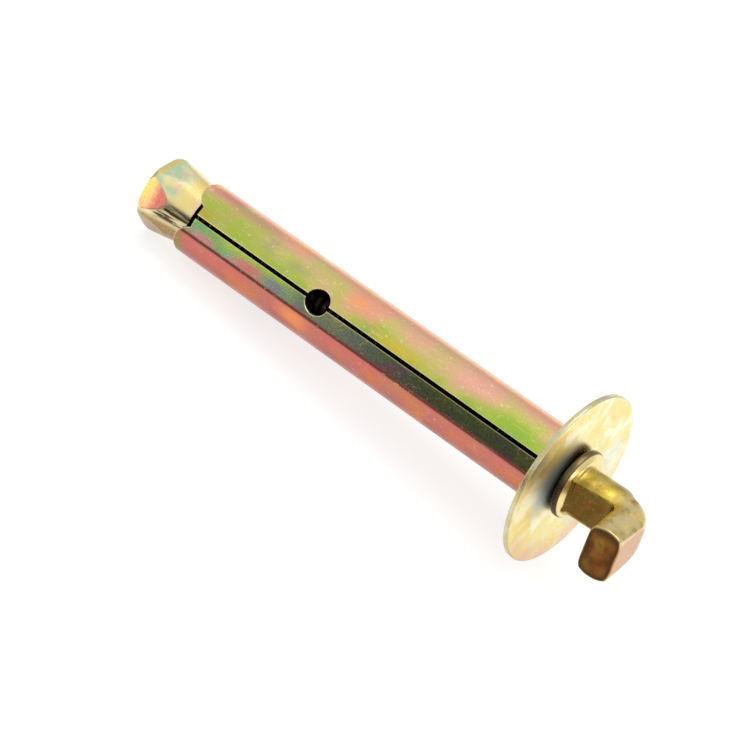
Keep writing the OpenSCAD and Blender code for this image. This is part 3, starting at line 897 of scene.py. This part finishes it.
back_rings = [(0.0, WASHER_BORE_R + RING_ROOM), (0.0, WASHER_R - RING_ROOM)]
rim = [(WASHER_T / 2, WASHER_R), (WASHER_T, WASHER_R), *face_rings, (WASHER_T, WASHER_BORE_R),
       (0.0, WASHER_BORE_R), *back_rings, (0.0, WASHER_R), (WASHER_T / 2, WASHER_R)]
rim_radii = [WASHER_ROLL + 0.06, *[0] * len(face_rings), 0.12, 0.06, 0, 0, 0.07]
washer_profile = rounded(rim, rim_radii, steps=5)[:-1]
turns = np.linspace(0, 2 * math.pi, WASHER_COLUMNS, endpoint=False) - SMEAR_TURN
dull_share = []
for x, r in washer_profile:
    near = min(1.0, 1.8 * max(0.0, 1 - abs(r - SMEAR_R) / SMEAR_REACH)) if x > 0.7 * WASHER_T else 0.0
    dull_share += list(near * np.clip(np.cos(turns), 0, 1))
piece("washer_disc", *turned(washer_profile, WASHER_COLUMNS), {"dull_share": dull_share}, lay_down,
      washer_zinc, "washer", "washer", "washer")

# %% [markdown]
# ## The hook
# The hook is one bar: upset to a collar, pressed flat on two sides and bent cold. It is swept along
# its middle line, in stations that each have a thickness, a width and a roundness. A curve with a
# bevel object could not change these on one side alone, and a bend needs it: steel stretches on the
# outer side, so the bar is drawn thin there.

# %% Middle line of the hook
bend_mid = BAR_T / 2 + BEND_R
shank_run = SHANK_LEN - BEND_R
arm_run = ARM_LEN - BEND_R
bend_end = math.radians(90 - BEND_ANGLE)
SECTION_BLEND, ARM_SPREAD, ROOT_FLARE, FLARE_LEN = 0.2, 0.7, 0.32, 0.4
DRAWN_THIN, DRAWN_EARLY, DRAWN_ROUND = 0.62, 0.7, 1.7
PLAIN_STATION = dict(thick=BAR_T, wide=BAR_W, blend=SECTION_BLEND, thin=0.0, drawn=0.0, shrink=0.0,
                     inner=0.0, outer=0.0, tip=0.0)


def hook_line():
    """Stations along the bar, each with its middle, outward side, thickness, width and how it ends."""
    line = []
    for x in [-1.4, -0.2, *np.linspace(0, FLARE_LEN, 6), *np.linspace(0.7, shank_run, 11)]:
        thick = ROOT_T + (BAR_T - ROOT_T) * min(max(x / shank_run, 0.0), 1.0)
        flare = ROOT_FLARE * max(0.0, 1 - max(x, 0.0) / FLARE_LEN) ** 2
        line.append(dict(at=(x, 0.0), out=(0.0, 1.0), thick=thick, shrink=-flare, inner=1.0))
    for t in np.linspace(0, 1, 31)[1:]:
        a = math.pi / 2 + (bend_end - math.pi / 2) * t
        out = (math.cos(a), math.sin(a))
        at = (shank_run + bend_mid * out[0], -bend_mid + bend_mid * out[1])
        bow = max(0.0, math.sin(math.pi * t))
        stretched = DRAWN_THIN * bow ** 1.2 + DRAWN_EARLY * math.sin(2 * math.pi * t) * bow ** 0.5
        line.append(dict(at=at, out=out, thin=stretched, drawn=DRAWN_ROUND * bow, inner=1 - 0.5 * t,
                         outer=t ** 3))
    bend_x, bend_y = at
    ahead = (out[1], -out[0])
    ends = [(s, 0.0) for s in np.linspace(0, arm_run - 0.55, 13)[1:]] + [(arm_run - 0.42, 0.0)]
    for t in np.linspace(0, math.pi / 2, 6):
        ends.append((arm_run - TIP_EDGE * (1 - math.sin(t)), TIP_EDGE * (1 - math.cos(t))))
    ends += [(arm_run, 0.45), (arm_run + 0.03, 1.2), (arm_run + 0.05, 1.9), (arm_run + 0.05, 2.4)]
    for s, shrink in ends:
        share = s / arm_run
        line.append(dict(at=(bend_x + ahead[0] * s, bend_y + ahead[1] * s), out=out, shrink=shrink,
                         wide=BAR_W + ARM_SPREAD * share, blend=SECTION_BLEND + 0.9 * share ** 3,
                         inner=0.5, outer=1.0, tip=min(1.0, shrink / 0.3)))
    return [{**PLAIN_STATION, **mark} for mark in line]


hook_stations = hook_line()
print("hook stations", len(hook_stations), "arm", arm_run, "shank", shank_run)

# %% [markdown]
# Each station becomes a ring of points. The section is a circle with two flats, and a soft minimum
# rounds the edges between them. The rings also carry values that say where the flats, the tip and
# the rubbed edges are, and a little noise gives the forged skin. The cream on the rubbed edges is
# partly bare zinc and partly a painted highlight, and it is laid on the outer side only.

# %% Rings of the hook
HOOK_COLUMNS, FORGED_SKIN = 120, 0.035


def hook_points():
    """Rings of the pressed section along the bar, and the values that the finish reads."""
    angles = np.linspace(0, 2 * math.pi, HOOK_COLUMNS, endpoint=False)
    side = np.cos(angles)
    outer, inner = side > 0, side < 0
    points = []
    fields = {"bare_edge": [], "inner_flat": [], "outer_flat": [], "cut_tip": [], "tip_middle": []}
    for mark in hook_stations:
        (x, y), out, tip = mark["at"], mark["out"], mark["tip"]
        half = mark["thick"] / 2 - np.where(outer, mark["thin"], 0.0)
        flats = half / np.maximum(np.abs(side), 1e-6)
        blend = mark["blend"] + np.where(outer, mark["drawn"], 0.0)
        radius, edge = soft_min(flats, np.full(HOOK_COLUMNS, mark["wide"] / 2), blend)
        on_flat = np.clip((mark["wide"] / 2 - flats) / 0.12, 0, 1)
        fields["bare_edge"] += list(edge * outer * (1 - tip))
        fields["inner_flat"] += list(on_flat * inner * mark["inner"])
        fields["outer_flat"] += list(on_flat * outer * mark["outer"])
        fields["cut_tip"] += [tip] * HOOK_COLUMNS
        fields["tip_middle"] += [min(1.0, max(0.0, mark["shrink"] - 0.4) / 1.4)] * HOOK_COLUMNS
        for a, r in zip(angles, radius - mark["shrink"]):
            if x > 0.5:
                spot = Vector((x * 0.7, y * 0.7 + 3 * math.cos(a), 3 * math.sin(a)))
                r += FORGED_SKIN * noise.noise(spot)
            across, up = r * math.cos(a), r * math.sin(a)
            points.append((x + out[0] * across, y + out[1] * across, up))
    rows = len(points) // HOOK_COLUMNS
    faces = ring_faces(rows, HOOK_COLUMNS)
    faces.append(tuple(range(HOOK_COLUMNS)))
    faces.append(tuple((rows - 1) * HOOK_COLUMNS + j for j in range(HOOK_COLUMNS)))
    return points, faces, fields


bar_points, bar_faces, hook_fields = hook_points()
print("bar points", len(bar_points), "faces", len(bar_faces))

# %% [markdown]
# The collar is turned, and its rim wavers a little because upsetting squeezes metal out unevenly.
# Its underside is bevelled, which leaves the dark gap that shows between the collar and the washer.

# %% Collar joined to the bar
in_shank = Matrix.Translation((collar_x, -SHANK_OFF, 0)) @ Matrix.Rotation(math.radians(SHANK_LEAN), 4, "Z")
UNDER_RISE, UNDER_IN, FRONT_FALL, FRONT_IN = 0.6, 0.9, 0.75, 1.1
collar_line = [(seat_x, 0.01), (seat_x, COLLAR_R - UNDER_IN), (seat_x + UNDER_RISE, COLLAR_R),
               (collar_x - FRONT_FALL, COLLAR_R), (collar_x, COLLAR_R - FRONT_IN), (collar_x, 0.01)]
collar_profile = rounded(collar_line, [0.12, 0.3, 0.3, 0.3], steps=4)
wavy = lambda x, r, a: 0.05 * math.sin(2 * a + 0.8) * max(0.0, r - 3.5) / 2
COLLAR_COLUMNS = 128
collar_points, collar_faces = turned(collar_profile, COLLAR_COLUMNS, wavy)
bar_points = [tuple(in_shank @ Vector(p)) for p in bar_points]
shift = len(collar_points)
hook_all = collar_points + bar_points
hook_faces = collar_faces + [tuple(shift + i for i in f) for f in bar_faces]
hook_fields = {title: [0.0] * shift + list(values) for title, values in hook_fields.items()}
collar_shares = {"collar_side": lambda x, r: r > COLLAR_R - 0.2 and x < collar_x - 0.6,
                 "collar_under": lambda x, r: x < seat_x + 0.5,
                 "collar_front": lambda x, r: x > collar_x - 0.6 and r > COLLAR_R - 1.6}
for title, belongs in collar_shares.items():
    values = [float(belongs(x, r)) for x, r in collar_profile for _ in range(COLLAR_COLUMNS)]
    hook_fields[title] = values + [0.0] * len(bar_points)
print("hook points", len(hook_all))

# %% [markdown]
# The hook has the heaviest film: gold and olive, paler over the elbow and arm, and brown on the inside
# of the bend where the bath was still. The sheared tip is rough and stays brown. Some washes paint
# light: a highlight by the bend, a pale front on the collar, and shade on the collar's side and
# underside. The washes find the flats and the tip by the values that the mesh carries.

# %% Finish of the hook
hook_washes = [
    stain_and_painted_light((0.56, 0.46, 0.17), 0.85, grain=(2.6, 0.36, 0.58)),
    stain_and_painted_light((0.60, 0.50, 0.17), 0.55, along=(collar_x - 1, collar_x + 6.0, 1.5)),
    stain_and_painted_light((0.84, 0.76, 0.56), 0.85, along=(collar_x + 6.5, collar_x + 25, 1.8), grain=(1.8, 0.30, 0.54)),
    # Painted highlight: a bright yellow spot on top of the shank by the bend.
    stain_and_painted_light((0.98, 0.84, 0.34), 0.7, along=(collar_x + 4.4, collar_x + 6.2, 1.2), around=(-0.8, -0.1, 0.25)),
    stain_and_painted_light((0.78, 0.56, 0.37), 0.9, only="outer_flat"),
    stain_and_painted_light((0.34, 0.25, 0.10), 0.9, only="inner_flat"),
    stain_and_painted_light((0.52, 0.27, 0.12), 0.7, grain=(2.2, 0.52, 0.68), only="inner_flat"),
    stain_and_painted_light((0.30, 0.18, 0.09), 0.97, only="cut_tip"),
    stain_and_painted_light((0.58, 0.43, 0.18), 0.85, grain=(1.8, 0.30, 0.62), only="tip_middle"),
    stain_and_painted_light((0.50, 0.27, 0.14), 0.6, grain=(2.6, 0.46, 0.58), only="tip_middle"),
    # Painted highlight: the front of the collar is laid pale cream.
    stain_and_painted_light((0.95, 0.87, 0.62), 0.9, only="collar_front"),
    # Painted reflection and shade: the collar's side is laid dark grey-brown, darker still on its lower
    # side.
    stain_and_painted_light((0.38, 0.33, 0.28), 0.85, only="collar_side"),
    stain_and_painted_light((0.20, 0.15, 0.16), 0.8, around=(-2.7, -0.95, 0.35), only="collar_side"),
    # Painted shade: the underside of the collar is laid near black.
    stain_and_painted_light((0.12, 0.10, 0.09), 0.95, only="collar_under"),
]
hook_film = dict(Base=0.09, Swing=0.02, Drift=0.12, Patch=4.0, Stretch=1.0, Seed=5.2)
hook_zinc = plated("hook_zinc", hook_film, 0.0, (0.08, 0.05), 0.27, hook_washes, edges=0.55, dull="cut_tip")
swing = Matrix.Rotation(-math.radians(HOOK_RISE), 4, "X")
piece("hook_forging", hook_all, hook_faces, hook_fields, lay_down @ swing, hook_zinc,
      "hook_bolt", "hook_bolt", "hook_bolt")

# %% [markdown]
# ## The studio
# The photo was taken in a white tent. The floor is white paper that keeps a soft shadow. To the
# camera and to reflections it also glows a little, so that it reads as white without more light
# on the metal.

# %% Floor
PAPER_GREY, PAPER_GLOW, PAPER_DROP = 0.42, 0.70, 0.00002
floor_mesh = bpy.data.meshes.new("floor")
floor_mesh.from_pydata([(-3, -3, 0), (3, -3, 0), (3, 3, 0), (-3, 3, 0)], [], [(0, 1, 2, 3)])
floor = into_scene(bpy.data.objects.new("floor", floor_mesh))
floor.location.z = -PAPER_DROP
paper = bpy.data.materials.new("white_paper")
paper.use_nodes = True
tree = paper.node_tree
shader = tree.nodes["Principled BSDF"]
shader.inputs["Base Color"].default_value = (*[PAPER_GREY] * 3, 1)
shader.inputs["Roughness"].default_value = 0.9
shader.inputs["Specular IOR Level"].default_value = 0.1
rays = put(tree, "ShaderNodeLightPath").outputs
seen = rays["Is Camera Ray"]
for kind in ("Is Glossy Ray", "Is Transmission Ray"):
    seen = calc(tree, "MAXIMUM", seen, rays[kind])
shader.inputs["Emission Color"].default_value = (1, 1, 1, 1)
tree.links.new(calc(tree, "MULTIPLY", seen, PAPER_GLOW), shader.inputs["Emission Strength"])
floor_mesh.materials.append(paper)
print("floor ready")

# %% [markdown]
# The world is white to the camera. Metal sees a sky that is bright above and behind, and dark at
# the front near the horizon, because a tent is open there, and without some dark there is no shape.

# %% World
world = bpy.data.worlds.new("white_tent")
bpy.context.scene.world = world
world.use_nodes = True
tree = world.node_tree
tree.nodes.clear()
rays = put(tree, "ShaderNodeLightPath").outputs
way = put(tree, "ShaderNodeSeparateXYZ", {0: put(tree, "ShaderNodeTexCoord").outputs["Generated"]}).outputs
horizon = ramped(tree, way[1], -0.4, 0.6, 0.12, 0.7)
dome = ramped(tree, way[2], 0.0, 0.7, horizon, 0.95, interpolation_type="SMOOTHSTEP")
glow = put(tree, "ShaderNodeMix", {0: rays["Is Camera Ray"], 2: dome, 3: 1.0}, data_type="FLOAT").outputs[0]
sky = put(tree, "ShaderNodeBackground", {"Color": (1, 1, 1, 1), "Strength": glow})
put(tree, "ShaderNodeOutputWorld", {"Surface": sky.outputs[0]})
print("world ready")

# %% [markdown]
# Metal mirrors its lamps, and a point lamp would leave hard dots on it, so the lamps are soft squares.
# One above and one on the left give the slow gradients, and a small low one on the right lights the
# front of the collar.

# %% Lamps
def lamp(name, place, target, size, watts):
    """A square soft lamp that looks at a target."""
    light = bpy.data.lights.new(name, "AREA")
    light.size, light.energy = size, watts
    obj = into_scene(bpy.data.objects.new(name, light))
    obj.location = place
    obj.rotation_euler = (Vector(target) - Vector(place)).to_track_quat("-Z", "Y").to_euler()


lamp("top_lamp", (0.05, 0.25, 0.75), (0, 0, 0.01), 0.5, 2.0)
lamp("left_lamp", (-0.51, -0.53, 0.16), (0, 0, 0.01), 0.32, 0.48)
lamp("right_lamp", (0.55, -0.02, 0.07), (0.04, 0, 0.02), 0.22, 0.4)
print("lamps ready")

# %% [markdown]
# ## The camera
# The camera was fitted to the outlines in the photo: a long lens, about 44 degrees above the floor,
# rolled so that the bolt runs from the upper left to the lower right.

# %% Camera
LENS, SENSOR = 156.858, 36.0
CAMERA_AT, CAMERA_TURN = (0.161320, -0.299409, 0.333690), (44.56278, -13.46433, 42.32331)
camera = into_scene(bpy.data.objects.new("camera", bpy.data.cameras.new("camera")))
camera.data.lens, camera.data.sensor_width = LENS, SENSOR
camera.data.clip_start, camera.data.clip_end = 0.02, 20.0
camera.location = CAMERA_AT
camera.rotation_euler = Euler([math.radians(v) for v in CAMERA_TURN], "XYZ")
bpy.context.scene.camera = camera
bpy.context.scene.view_settings.view_transform = "Standard"
print("camera at", [round(v, 3) for v in camera.location])
